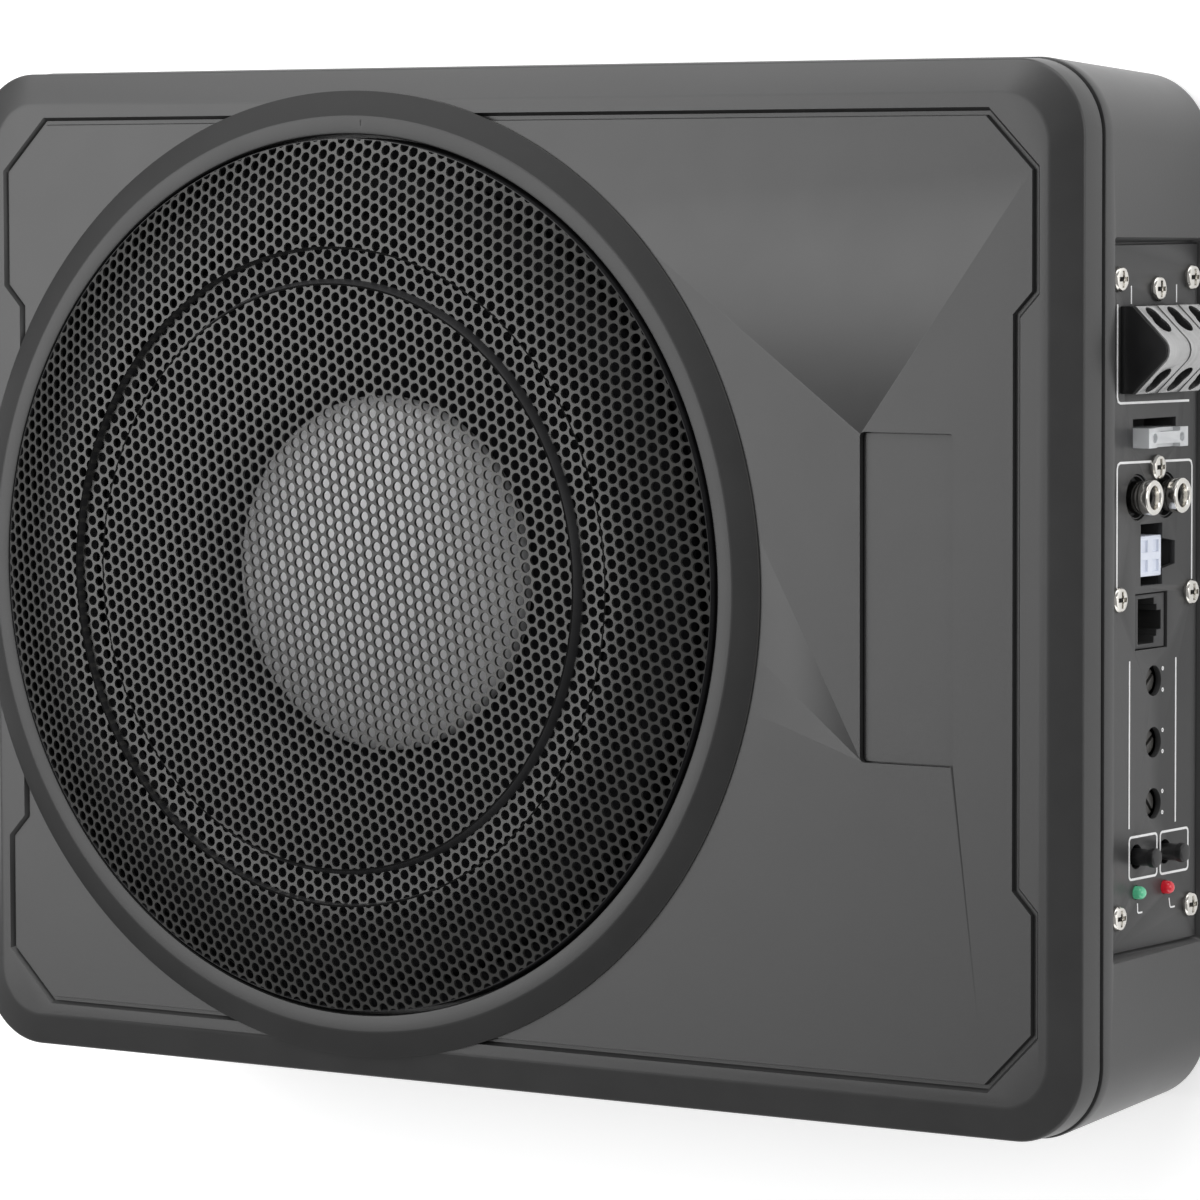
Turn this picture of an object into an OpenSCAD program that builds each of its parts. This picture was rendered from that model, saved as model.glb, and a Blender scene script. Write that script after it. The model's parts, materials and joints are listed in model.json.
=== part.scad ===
/* [Enclosure] */
// Length of the enclosure along X
body_w = 328; // [320:1:345]
// Width of the enclosure along Y
body_h = 250; // [246:1:262]
// Height of the flat front above the back
front_z = 67.7; // [67.7:0.3:69.2]
// Height of the seam between cover and housing
seam_z = 56.2; // [55.9:0.3:56.5]
// Wall thickness of cover and housing
wall = 3; // [2.5:0.5:3]
// Width of the bevel round the cover
bevel_w = 8; // [6:0.5:10]
// Depth of the bevel round the cover
bevel_d = 2.4; // [1.5:0.1:3]
// Outer corner radius
corner_r = 18; // [14:1:22]

/* [Driver] */
// Distance of the driver axis from the middle, towards the plain end
driver_off = 42; // [40:1:44]
// Outer radius of the grille ring
ring_r = 119.6; // [119:0.1:120]
// Radius of the grille opening
grille_r = 108.9; // [108.5:0.1:109.5]
// Height of the grille's crown above the flat front
crown_h = 11.4; // [11:0.1:12.5]
// Radius of the dust cap
cap_r = 44.2; // [43:0.1:45]

/* [End panel] */
// Length of the control panel along Y
panel_l = 164; // [163.4:0.2:164.4]
// Height of the control panel
panel_t = 41.2; // [40.8:0.1:41.6]
// Height of the centre line of the panel's screws and dials
panel_z = 26.8; // [26.6:0.1:27]
// How far the panel's face lies inside the end of the enclosure
panel_in = 3.2; // [3:0.1:3.6]

/* [Hidden] */
$fn = 64;
tiny = 0.01;
section_t = 0.25;                    // thickness of each section of the housing

// Enclosure
back_z = 0;                          // the back, which lies on the floor
lip = 0.4;                           // the housing stands out this much past the cover
gasket_t = 0.8;
cover_z = seam_z + gasket_t;         // lower edge of the cover
side_draft = 0.058;                  // long sides lean in this much per millimetre of depth
end_draft = 0.045;
round_r = 3.5;                       // round along the rear edge

// Driver
hub = [-driver_off, 0, 0];
flange_z = front_z - 8;                       // underside of the basket flange
flange_t = 3;
flange_r = 117.4;
seat_r = 104;                        // inner radius of the seat that carries the flange
surround_z = flange_z + flange_t + 0.1;
roll_in = 89;
roll_out = 102;
roll_h = 5.4;
sheet = 0.9;                         // thickness of the surround
cone_in = 25.6;
cone_edge = 85;                      // inner radius of the surround's glue land
cone_neck_z = flange_z - 11;
cap_z = front_z - 12.4;
former_r = 25.4;
spider_z = flange_z - 17;
plate_top = flange_z - 25;           // upper face of the motor's top plate
plate_t = 5;
magnet_t = 15;
back_t = 5.5;
pole_r = 24.4;
land_z = plate_top + 4.8;            // land that carries the spider
tag_turn = 30;                       // direction of the tag strip from the driver's axis
tag_z = plate_top + 2.52;
screw_ring = 112;                    // radius of the driver screws' circle

// Grille
grille_out = grille_r - 0.6;
grille_rim_z = front_z + 1.6;
channel_in = 73.8;
channel_out = 81;
channel_d = 3;
channel_z = front_z + 8.8;           // height of the dome at the channel
grille_t = 1.1;

// End panel
panel_x = body_w / 2 - panel_in;     // outer face of the panel
plate_th = 1.5;
inner_x = panel_x - plate_th;        // inner face of the panel
pocket_l = 165.2;                    // the pocket's length at the panel; it widens outwards
pocket_flare = 1.6;
panel_low = panel_z - 20.4;          // rear edge of the panel
screw_y = [-74.2, 0, 74.2];
screw_z = [-17.1, 17.1];
jack_screw_y = [71.7, 30.1];
jack_screw_z = panel_z - 0.9;
socket_z = panel_z + 1.2;            // centre line of the sockets and switches
column = 6.75;                       // half the distance between the two columns of fittings
rear_col = socket_z - column;
front_col = socket_z + column;
window_l = 159;
window_t = 29.4;
term_y = 57.8;
term_z = panel_z + 0.9;
term_l = 30.75;
term_w = 20.3;
term_pitch = term_l / 3;
term_gap = 0.8;                      // gap between two clamp plates
slope_lean = atan2(8.1, 7.9);           // how far each slope of the block turns from the panel's normal
fuse_y = 37.2;
fuse_slot_y = fuse_y + 1;
fuse_z = panel_z + 0.7;
rca_y = 23.4;
rca_r = 4.15;
rca_proud = 4.8;
rca_hole = 5.4;
header_y = 9.8;
header_w = 14.4;
header_t = 10.3;
remote_y = -5.75;
pin_y = 2.3;                         // half pitch of the connector's pins along Y
pin_z = 2.6;
control_y = [-19.9, -34.4, -48.8];
control_r = 3.6;
switch_y = -60.6;
switch_hole_r = 2.9;
button_r = 2;
button_proud = 5.9;
button_top = plate_th + 5 + button_proud;
led_y = -69;
led_r = 1.55;
board_z = 11.7;
board_t = 1.6;
insert_x = 120;
insert_y = 75;
screw_seat = 40.7;                   // height of the seat of the cover screws' heads
corners = [for (x = [-1, 1], y = [-1, 1]) [x, y]];
boss_xy = concat([for (y = [-1, 1], x = [-146, 146]) [x, y * 100]], [for (y = [-1, 1]) [72, y * 104]]);

// A flat slab with rounded corners, centred, standing on z = 0
module slab(x, y, h, r) {
    linear_extrude(h)
        union() {
            square([x - 2 * r, y], center = true);
            square([x, y - 2 * r], center = true);
            for (c = corners) translate([c.x * (x / 2 - r), c.y * (y / 2 - r)]) circle(r);
        }
}

// Thin slab used as one section of a smooth shell
module section(x, y, z, r, thick = tiny) {
    translate([0, 0, z]) linear_extrude(thick) union() {
        square([x - 2 * r, y], center = true);
        square([x, y - 2 * r], center = true);
        for (c = corners) translate([c.x * (x / 2 - r), c.y * (y / 2 - r)]) circle(r, $fn = 32);
    }
}

module tube(r_out, r_in, h) {
    difference() {
        cylinder(r = r_out, h = h, $fn = 128);
        translate([0, 0, -1]) cylinder(r = r_in, h = h + 2, $fn = 128);
    }
}

// Cylinder that points out of the end panel, along +X
module stud(x, y, z, r, h) {
    translate([x, y, z]) rotate([0, 90, 0]) cylinder(r = r, h = h);
}

module block(x0, x1, y, z, wy, wz) {
    translate([x0, y - wy / 2, z - wz / 2]) cube([x1 - x0, wy, wz]);
}

// Crosshead screw pointing out along +X
module panel_screw(y, z) {
    difference() {
        union() {
            translate([panel_x + 0.02, y, z]) rotate([0, 90, 0])
                rotate_extrude() polygon([[0, 0], [2.95, 0], [2.95, 0.7], [2.6, 1.2], [2.1, 1.35], [0, 1.4]]);
            stud(panel_x - 8, y, z, 1.4, 8.1);
        }
        for (a = [0, 90]) translate([panel_x + 1, y, z]) rotate([a, 0, 0])
            cube([2.4, 3.9, 1.05], center = true);
    }
}

/* ---- Enclosure ---- */

// How far a wall leans in at height z: its draft, and the round at the rear edge
function wall_in(z, draft) = draft * (seam_z - z) - lip
    + (z < round_r ? round_r - sqrt(pow(round_r, 2) - pow(round_r - z - tiny, 2)) : 0);

module shell(inset) {
    low = back_z + inset;
    high = seam_z + (inset > 0 ? 1 : -section_t);
    span = high - low;
    hull() for (s = [0, 0.006, 0.015, 0.028, 0.044, 0.066, 1]) {
        z = low + s * span;
        zz = min(z, seam_z);
        section(body_w - 2 * (wall_in(zz, end_draft) + inset),
            body_h - 2 * (wall_in(zz, side_draft) + inset), z, corner_r - inset, section_t);
    }
}

module cover_solid() {
    translate([0, 0, cover_z]) slab(body_w, body_h, front_z - bevel_d - cover_z, corner_r);
    hull() {
        section(body_w, body_h, front_z - bevel_d - tiny, corner_r);
        section(body_w - 2 * bevel_w, body_h - 2 * bevel_w, front_z - tiny, corner_r - bevel_w + 2);
    }
}

module front_cover() color([0.13, 0.13, 0.135]) difference() {
    union() {
        difference() {
            cover_solid();
            translate([0, 0, cover_z - 1])
                slab(body_w - 2 * wall, body_h - 2 * wall, front_z - wall - cover_z, corner_r - wall);
        }
        // seat for the driver flange
        translate(hub + [0, 0, cover_z]) tube(flange_r + 3, seat_r, front_z - wall + tiny - cover_z);
        for (p = boss_xy) translate([p.x, p.y, cover_z]) cylinder(r = 5, h = front_z - wall + tiny - cover_z);
    }
    translate(hub + [0, 0, flange_z]) cylinder(r = flange_r + 0.4, h = 20, $fn = 128);
    // plain recess for a badge
    translate([118 - 12.7, -38.7, front_z - 1.4]) cube([25.4, 77.4, 3]);
    for (p = boss_xy) translate([p.x, p.y, cover_z - 1]) cylinder(r = 1.9, h = 6.5);
    for (a = [0:45:315]) rotate_about_hub(a + 22.5) translate([screw_ring, 0, flange_z - wall - 1])
        cylinder(r = 1.75, h = 5, $fn = 24);
}

module rotate_about_hub(a) {
    translate(hub) rotate([0, 0, a]) children();
}

module rear_housing() color([0.2, 0.2, 0.205]) difference() {
    union() {
        difference() {
            shell(0);
            shell(wall);
        }
        for (p = boss_xy) translate([p.x, p.y, back_z + 1]) cylinder(r = 6, h = seam_z - back_z - 1);
        for (c = corners) translate([c.x * insert_x, c.y * insert_y, back_z]) cylinder(r = 6, h = 9.5);
        // flat land behind the panel
        translate([inner_x - 2.6, -pocket_l / 2 - 2, panel_low - 2.4]) cube([4.6, pocket_l + 4, panel_t + 5]);
    }
    // pocket and window for the panel
    pocket();
    translate([inner_x - 10, -window_l / 2, panel_z - window_t / 2]) cube([20, window_l, window_t]);
    for (p = boss_xy) translate([p.x, p.y, 0]) {
        cylinder(r = 4, h = screw_seat);
        cylinder(r = 2.15, h = 80);
    }
    for (c = corners) translate([c.x * insert_x, c.y * insert_y, 0]) cylinder(r = 3.5, h = back_z + 8);
    for (y = screw_y, z = screw_z) stud(inner_x - 10, y, panel_z + z, 1.45, 20);
}

// Pocket round the panel, with walls that open outwards
module pocket() {
    deep = panel_t + 1.2;
    low = panel_low - 0.6;
    hull() {
        translate([inner_x, -pocket_l / 2, low]) cube([tiny, pocket_l, deep]);
        translate([body_w / 2 + 1, -pocket_l / 2 - pocket_flare, low - 1])
            cube([tiny, pocket_l + 2 * pocket_flare, deep + 3]);
    }
}

module cover_gasket() color([0.04, 0.04, 0.04]) translate([0, 0, seam_z + 0.02]) difference() {
    slab(body_w - 1.6, body_h - 1.6, gasket_t - 0.04, corner_r - 0.8);
    translate([0, 0, -1]) slab(body_w - 8, body_h - 8, 4, corner_r - 4);
    for (p = boss_xy) translate([p.x, p.y, -1]) cylinder(r = 6.5, h = 4);
}

module cover_screws() color([0.5, 0.5, 0.5]) for (p = boss_xy)
translate([p.x, p.y, screw_seat - 3.1]) difference() {
    union() {
        cylinder(r = 3.5, h = 3);
        cylinder(r = 1.85, h = 24);
    }
    for (a = [0, 90]) rotate([0, 0, a]) cube([4, 0.9, 3], center = true);
}

module mounting_inserts() color([0.72, 0.55, 0.25]) for (c = corners)
    translate([c.x * insert_x, c.y * insert_y, back_z]) tube(3.5, 2.5, 8);

/* ---- Grille ---- */

module grille_ring() color([0.12, 0.12, 0.125]) translate(hub) rotate_extrude($fn = 180) polygon([
    [grille_r, front_z + 0.02], [ring_r, front_z + 0.02], [ring_r, front_z + 0.4],
    [ring_r - 6.9, front_z + 2.4], [grille_r + 0.4, front_z + 2.4], [grille_r, front_z + 2]
]);

// Height of the dome at radius r: a flat crown that turns down towards the rim
function dome_z(r) = r > channel_out
    ? grille_rim_z + (channel_z - grille_rim_z) * (1 - pow((r - channel_out) / (grille_out - channel_out), 1.7))
    : channel_z + (front_z + crown_h - channel_z) * (1 - pow(r / channel_out, 2));

module grille() color([0.42, 0.42, 0.41]) translate(hub) {
    outer = [for (k = [0:8]) grille_out - k * (grille_out - channel_out) / 8];
    inner = [for (k = [0:8]) channel_in * (1 - k / 8)];
    upper = concat(
        [for (r = outer) [r, dome_z(r)]],
        [[channel_out - 0.6, channel_z - channel_d], [channel_in + 0.6, channel_z - channel_d]],
        [for (r = inner) [r, dome_z(r)]]);
    count = len(upper);
    lower = [for (k = [count - 1:-1:0]) [upper[k].x, upper[k].y - grille_t]];
    rotate_extrude($fn = 128) polygon(concat(upper, lower));
}

/* ---- Driver ---- */

module driver_basket() color([0.1, 0.1, 0.1]) translate(hub) difference() {
    rotate_extrude($fn = 128) polygon([
        [27.4, plate_top + 0.02], [66, plate_top + 0.02], [seat_r - 1, flange_z], [flange_r, flange_z + 0.02],
        [flange_r, flange_z + flange_t], [seat_r, flange_z + flange_t], [seat_r - 2.5, flange_z + 1],
        [68, land_z], [60, land_z], [60, plate_top + 2.5], [27.4, plate_top + 2.5]
    ]);
    // windows between the six arms
    for (a = [0:60:300]) rotate([0, 0, a]) translate([70, -16, plate_top - 5]) cube([26, 32, 40]);
    for (a = [22.5:45:360]) rotate([0, 0, a]) translate([screw_ring, 0, plate_top])
        cylinder(r = 2.2, h = 40, $fn = 24);
    // window for the tag strip, through one arm
    rotate([0, 0, tag_turn]) translate([59.9, -9.4, plate_top + 2.5]) cube([22, 18.8, 9]);
}

module driver_screws() color([0.3, 0.3, 0.3]) for (a = [22.5:45:360]) rotate_about_hub(a)
    translate([screw_ring, 0, 0]) difference() {
        union() {
            translate([0, 0, flange_z + flange_t + 0.02]) rotate_extrude()
                polygon([[0, 0], [3.4, 0], [3.4, 1], [2.2, 1.9], [0, 2.1]]);
            translate([0, 0, flange_z - 4]) cylinder(r = 1.7, h = flange_t + 4.1);
        }
        for (t = [0, 90]) rotate([0, 0, t]) translate([0, 0, flange_z + flange_t + 2])
            cube([3.6, 0.8, 1.6], center = true);
    }

module surround() color([0.05, 0.05, 0.05]) translate(hub) {
    mid = (roll_in + roll_out) / 2;
    half = (roll_out - roll_in) / 2;
    arc = [for (a = [0:15:180]) [mid - half * cos(a), surround_z + 0.9 + roll_h * sin(a)]];
    under = [for (a = [180:-15:0]) [mid - (half - sheet) * cos(a), surround_z + (roll_h - sheet) * sin(a)]];
    rotate_extrude($fn = 128) polygon(concat(
        [[cone_edge, surround_z], [cone_edge, surround_z + 0.9]], arc,
        [[108, surround_z + 0.9], [108, surround_z]], under));
}

module cone() color([0.12, 0.12, 0.12]) translate(hub) rotate_extrude($fn = 128) polygon([
    [cone_in, cone_neck_z - 1.2], [cone_in + 1.2, cone_neck_z - 1.2], [cap_r - 2, cap_z - 3.2],
    [cone_edge - 1, surround_z - 1.6], [88.4, surround_z - 1.3], [88.4, surround_z - 0.2],
    [cone_edge - 1.2, surround_z - 0.2], [cap_r - 2, cap_z - 1.8], [cone_in + 1, cone_neck_z + 0.6],
    [cone_in, cone_neck_z + 0.6]
]);

module dust_cap() color([0.8, 0.8, 0.8]) translate(hub) {
    cap_h = 8.5;
    dome = [for (a = [0:10:90]) [cap_r * cos(a), cap_z + cap_h * sin(a)]];
    under = [for (a = [90:-10:0]) [(cap_r - 1.1) * cos(a), cap_z + (cap_h - 1) * sin(a)]];
    rotate_extrude($fn = 128) polygon(concat(
        [[cap_r, cap_z - 1.3]], dome, under, [[cap_r - 1.1, cap_z - 1.45]]));
}

module spider() color([0.75, 0.6, 0.3]) translate(hub) {
    spider_in = former_r + 0.65;
    spider_out = 63;
    waves = 4;
    count = 48;
    wave = [for (k = [0:count]) spider_z + 1.3 * sin(360 * waves * k / count)];
    radii = [for (k = [0:count]) spider_in + (spider_out - spider_in) * k / count];
    rotate_extrude($fn = 96) polygon(concat(
        [for (k = [0:count]) [radii[k], wave[k]]],
        [for (k = [count:-1:0]) [radii[k], wave[k] - 0.5]]));
    // ring that lifts the spider's edge off the basket
    translate([0, 0, land_z + 0.02]) tube(66, 60.5, spider_z - land_z - 0.6);
}

module voice_coil_former() color([0.65, 0.5, 0.3]) translate(hub + [0, 0, plate_top - 10])
    tube(former_r + 0.2, former_r - 0.2, cone_neck_z - plate_top + 10.6);

module voice_coil() color([0.7, 0.35, 0.15]) translate(hub + [0, 0, plate_top - 9])
    tube(former_r + 1.15, former_r + 0.2, 11);

module top_plate() color([0.25, 0.25, 0.26]) translate(hub + [0, 0, plate_top - plate_t]) tube(55, 27.2, plate_t);

module magnet() color([0.15, 0.15, 0.16]) translate(hub + [0, 0, plate_top - plate_t - magnet_t])
    tube(59, 32, magnet_t - 0.02);

module back_plate() color([0.25, 0.25, 0.26]) translate(hub) difference() {
    low = plate_top - plate_t - magnet_t - back_t;
    union() {
        translate([0, 0, low]) cylinder(r = 55, h = back_t - 0.02, $fn = 128);
        cylinder_from(low, pole_r, plate_top);
    }
    translate([0, 0, low - 1]) cylinder(r = 8, h = 60);
}
module cylinder_from(z0, r, z1) {
    translate([0, 0, z0]) cylinder(r = r, h = z1 - z0, $fn = 128);
}

// Tag strip on the basket, where the leads meet
module terminal_tag() color([0.7, 0.6, 0.3]) translate(hub) rotate([0, 0, tag_turn]) {
    translate([60.3, -9, tag_z]) cube([4, 18, 2.1]);
    for (y = [-5, 5]) translate([64.2, y - 1.5, tag_z + 0.5]) cube([7.2, 3, 0.8]);
}

// A round lead through a list of points
module lead(points, r) {
    for (k = [0:len(points) - 2]) hull() for (p = [points[k], points[k + 1]])
        translate(p) sphere(r = r, $fn = 12);
}

module tinsel_leads() color([0.75, 0.45, 0.25]) translate(hub) rotate([0, 0, tag_turn]) for (y = [-5, 5])
    lead([[70.6, y, tag_z + 2.04], [68.2, y, tag_z + 6.2], [62, y, spider_z + 4], [50, y, spider_z + 6],
        [45, y, spider_z + 9]], 0.7);

module speaker_leads() for (side = [-1, 1]) color(side > 0 ? "firebrick" : [0.08, 0.08, 0.08])
    lead([[21.4 - side * 2.5, 36.6 + side * 4.33, tag_z + 0.9], [30, 46 + side * 3, tag_z - 5],
        [60, 60 + side * 3, 24], [86, 60 + side * 3, 20], [92, 58 + side * 3, board_z + board_t + 1.3]], 1.1);

/* ---- End panel ---- */

module end_panel() color([0.15, 0.15, 0.155]) difference() {
    translate([inner_x, -panel_l / 2, panel_low]) cube([plate_th, panel_l, panel_t]);
    for (y = screw_y, z = screw_z) stud(inner_x - 1, y, panel_z + z, 1.6, 10);
    for (y = jack_screw_y) stud(inner_x - 1, y, jack_screw_z, 1.6, 10);
    block(inner_x - 1, panel_x + 1, fuse_slot_y, panel_z, 6.8, 20.4);
    for (z = [rear_col, front_col]) {
        stud(inner_x - 1, rca_y, z, rca_hole, 5);
        stud(inner_x - 1, switch_y, z, switch_hole_r, 5);
        stud(inner_x - 1, led_y, z, 1.7, 5);
    }
    block(inner_x - 1, panel_x + 1, header_y, socket_z, header_w, header_t);
    // latch notch of the connector opening, narrower towards the rear
    translate([inner_x - 1, header_y, socket_z]) rotate([90, 0, 90]) linear_extrude(5)
        polygon([[-3.6, -5], [3.6, -5], [2.7, -11.2], [-2.7, -11.2]]);
    block(inner_x - 1, panel_x + 1, remote_y, socket_z, 13.2, 15.3);
    for (y = control_y) stud(inner_x - 1, y, panel_z, control_r, 5);
    block(inner_x - 1, panel_x + 1, term_y, term_z, 16, term_l - 4);
}

module panel_screws() color([0.75, 0.74, 0.7])
    for (y = screw_y, z = screw_z) panel_screw(y, panel_z + z);

module jack_screws() color([0.75, 0.74, 0.7])
    for (y = jack_screw_y) panel_screw(y, jack_screw_z);

// Cross-section of the terminal block: low at both edges, a rounded ridge in the middle
module roof(lift) {
    edge = 3.2 + lift;
    ridge = 12.2 + lift;
    polygon([[0, -term_w / 2], [edge, -term_w / 2], [ridge - 0.9, -2.4], [ridge - 0.25, -1.3], [ridge, 0],
        [ridge - 0.25, 1.3], [ridge - 0.9, 2.4], [edge, term_w / 2], [0, term_w / 2]]);
}

// Children placed on one slope of the roof, above the middle of terminal k; side is -1 or +1
module on_slope(k, side) {
    translate([panel_x + 7.3, term_y + side * 6.3, term_z + (k - 1) * term_pitch])
        rotate([0, 0, side * slope_lean]) rotate([0, 90, 0]) children();
}

// Keyhole for a wire and its clamp screw; the narrow end points away from the ridge
module keyhole(side) {
    depth = 6.5;
    wide = 2.8;
    narrow = 2.3;
    narrow_at = 2.4;
    translate([0, -side * 0.6, -depth]) cylinder(r = wide, h = depth + 12, $fn = 32);
    translate([0, side * narrow_at, -depth]) cylinder(r = narrow, h = depth + 12, $fn = 32);
    translate([-narrow, side > 0 ? 0 : -narrow_at, -depth]) cube([2 * narrow, narrow_at, depth + 12]);
}

module keyholes() {
    for (k = [0:2], side = [-1, 1]) on_slope(k, side) keyhole(side);
}

module terminal_block() color([0.06, 0.06, 0.06]) difference() {
    union() {
        translate([panel_x + 0.02, term_y, term_z - term_l / 2]) linear_extrude(term_l) roof(0);
        block(inner_x - 8, panel_x + 1, term_y, term_z, 15.4, term_l - 4.6);
    }
    keyholes();
    // grooves between the clamp plates
    for (k = [1, 2]) translate([panel_x + 2, term_y, term_z - term_l / 2 + k * term_pitch - term_gap / 2])
        linear_extrude(term_gap) difference() {
            translate([0, -20]) square([30, 40]);
            roof(-3.2);
        }
}

module terminal_plates() color([0.55, 0.55, 0.55]) difference() {
    for (k = [0:2]) translate([panel_x + 0.02, term_y, term_z + (k - 1.5) * term_pitch + term_gap / 2])
        linear_extrude(term_pitch - term_gap) difference() {
            roof(0.7);
            roof(0.02);
        }
    keyholes();
}

module clamp_screws() color([0.6, 0.6, 0.58]) for (k = [0:2]) on_slope(k, 1) translate([0, -0.6, -6.4])
    difference() {
        cylinder(r = 2.4, h = 2.4);
        translate([0, 0, 2.4]) cube([6, 0.8, 1.6], center = true);
    }

module fuse_socket() color([0.05, 0.05, 0.05]) difference() {
    block(inner_x - 16, inner_x - 0.02, fuse_slot_y, panel_z, 9, 22.4);
    block(inner_x - 7, panel_x + 1, fuse_slot_y, panel_z, 6.9, 20.4);
    for (z = [-7.2, 7.2]) block(inner_x - 14, panel_x, fuse_y, fuse_z + z, 0.9, 5.4);
}

module fuse() color([0.9, 0.92, 0.95]) {
    difference() {
        block(panel_x - 7, panel_x + 4.2, fuse_y, fuse_z, 4.6, 18.6);
        for (s = [-1, 1]) block(panel_x + 2.2, panel_x + 5, fuse_y + s * 2.2, fuse_z, 1.6, 11);
        for (z = [-6.4, 6.4]) stud(panel_x + 3.2, fuse_y, fuse_z + z, 1.1, 3);
    }
    for (z = [-7.2, 7.2]) block(panel_x - 14, panel_x - 6.9, fuse_y, fuse_z + z, 0.7, 5.2);
}

// Nickel barrel of one phono jack, with a flared front ring
module rca_jack(z) color([0.8, 0.79, 0.75]) translate([panel_x - 3.3, rca_y, z]) rotate([0, 90, 0])
    rotate_extrude() polygon([
        [1.7, 0.02], [3.8, 0.02], [3.8, 5.2], [rca_r, 5.7], [rca_r, rca_proud + 3],
        [rca_r - 0.3, rca_proud + 3.3], [2.9, rca_proud + 3.3], [2.6, rca_proud + 2.7], [2.6, 2], [1.7, 2]
    ]);
module rca_jack_front() rca_jack(front_col);
module rca_jack_rear() rca_jack(rear_col);

module rca_insulators() color([0.07, 0.07, 0.07]) for (z = [rear_col, front_col]) {
    translate([panel_x - 3.3, rca_y, z]) rotate([0, 90, 0]) {
        rotate_extrude() polygon([[3.9, 0.02], [rca_hole - 0.2, 0.02], [rca_hole - 0.2, 2.9], [4.8, 2.9],
            [4.7, 1.2], [3.9, 1.2]]);
        translate([0, 0, 2.02]) tube(2.5, 1.6, rca_proud - 0.4);
    }
}

module rca_block() color([0.07, 0.07, 0.07]) difference() {
    block(inner_x - 13, panel_x - 3.3, rca_y + 0.3, socket_z, 9.6, 24.8);
    for (z = [rear_col, front_col]) stud(panel_x - 12, rca_y, z, 1.62, 10);
    stud(inner_x - 14, jack_screw_y[1], jack_screw_z, 1.6, 14);
}

module header_frame() color([0.04, 0.04, 0.04]) difference() {
    block(inner_x - 10, inner_x - 0.02, header_y, socket_z - 2, 16.4, 20);
    block(inner_x - 8.6, inner_x + 1, header_y, socket_z, header_w, header_t);
    block(inner_x - 8.6, inner_x + 1, header_y, socket_z - 8, 7, 6.6);
    pin_places() stud(inner_x - 12, 0, 0, 0.75, 6);
}

module header() color([0.88, 0.9, 0.94]) difference() {
    block(inner_x - 8.5, panel_x - 0.3, header_y - 0.4, socket_z, 9.5, header_t - 0.2);
    pin_places() block(panel_x - 1, panel_x, 0, 0, 2.8, 3);
}

// Children at the four pins of the connector
module pin_places() {
    for (y = [-1, 1], z = [-1, 1]) translate([0, header_y - 0.4 + y * pin_y, socket_z + z * pin_z]) children();
}

module header_pins() color([0.8, 0.7, 0.4]) pin_places() stud(inner_x - 14, 0, 0, 0.45, 5.48);

// Outline of the modular jack's mouth: wide, then two steps down to the latch slot
module jack_mouth() {
    translate([0, 1.8]) square([10.6, 7.6], center = true);
    translate([0, -2]) square([7.5, 2.6], center = true);
    translate([0, -3.8]) square([4.5, 3], center = true);
}

module remote_jack() color([0.13, 0.13, 0.135]) difference() {
    union() {
        block(inner_x - 14, inner_x - 0.02, remote_y, socket_z + 0.2, 13.6, 16.4);
        block(inner_x - 1, panel_x - 0.35, remote_y, socket_z + 0.4, 12.6, 14);
    }
    translate([inner_x - 12, remote_y, socket_z + 0.1]) rotate([90, 0, 90]) linear_extrude(30) jack_mouth();
}

module remote_contacts() color([0.85, 0.7, 0.35]) for (k = [-2.5:1:2.5])
    block(inner_x - 11.9, inner_x - 3, remote_y + k * 1.3, socket_z + 5.3, 0.6, 0.5);

// Rotary control: a body behind the panel and a slotted shaft that ends inside the hole
module control_body(y) color([0.1, 0.1, 0.12]) difference() {
    block(inner_x - 9, inner_x - 1.6, y, panel_z, 10, 11);
    stud(inner_x - 6.02, y, panel_z, 3.06, 12);
}
module control_shaft(y, turn) color([0.14, 0.14, 0.14]) translate([inner_x - 6, y, panel_z]) rotate([turn, 0, 0])
    difference() {
        rotate([0, 90, 0]) rotate_extrude() polygon([[0, 0], [3, 0], [3, 5.6], [2.6, 6], [0, 6]]);
        translate([6, 0, 0]) cube([2, 0.9, 6.4], center = true);
    }
module gain_control() control_body(control_y[0]);
module gain_shaft() control_shaft(control_y[0], 35);
module boost_control() control_body(control_y[1]);
module boost_shaft() control_shaft(control_y[1], 30);
module low_pass_control() control_body(control_y[2]);
module low_pass_shaft() control_shaft(control_y[2], -45);

// Push switch: a body behind the panel, and a cap on a stem that stands out of its hole
module switch_body(z) color([0.1, 0.1, 0.12]) difference() {
    block(inner_x - 12, inner_x - 2, switch_y, z, 8.4, 8.4);
    stud(inner_x - 9, switch_y, z, button_r + 0.1, 12);
}
module push_button(z) color([0.05, 0.05, 0.05]) translate([inner_x - 5, switch_y, z]) rotate([0, 90, 0])
    rotate_extrude() polygon([[0, 0], [button_r, 0], [button_r, button_top - 2.6],
        [button_r + 0.3, button_top - 1.8], [button_r + 0.3, button_top - 0.5],
        [button_r - 0.1, button_top - 0.1], [0, button_top]]);
module phase_switch() switch_body(front_col);
module phase_button() push_button(front_col);
module auto_switch() switch_body(rear_col);
module auto_button() push_button(rear_col);

module led(z, tint) color(tint) translate([inner_x - 4, led_y, z]) rotate([0, 90, 0]) {
    cylinder(r = led_r, h = 5 + plate_th);
    translate([0, 0, 5 + plate_th - tiny]) rotate_extrude() intersection() {
        circle(led_r);
        square([2, 2]);
    }
    cylinder(r = 1.9, h = 1);
}
module power_led() led(front_col, [0.25, 0.7, 0.45]);
module protect_led() led(rear_col, [0.8, 0.05, 0.1]);

/* ---- Amplifier ---- */

module circuit_board() color([0.1, 0.3, 0.15]) difference() {
    translate([88, -80, board_z]) cube([62, 160, board_t]);
    for (x = [92, 146], y = [-76, 76]) translate([x, y, 0]) cylinder(r = 1.6, h = 40);
}

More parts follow.
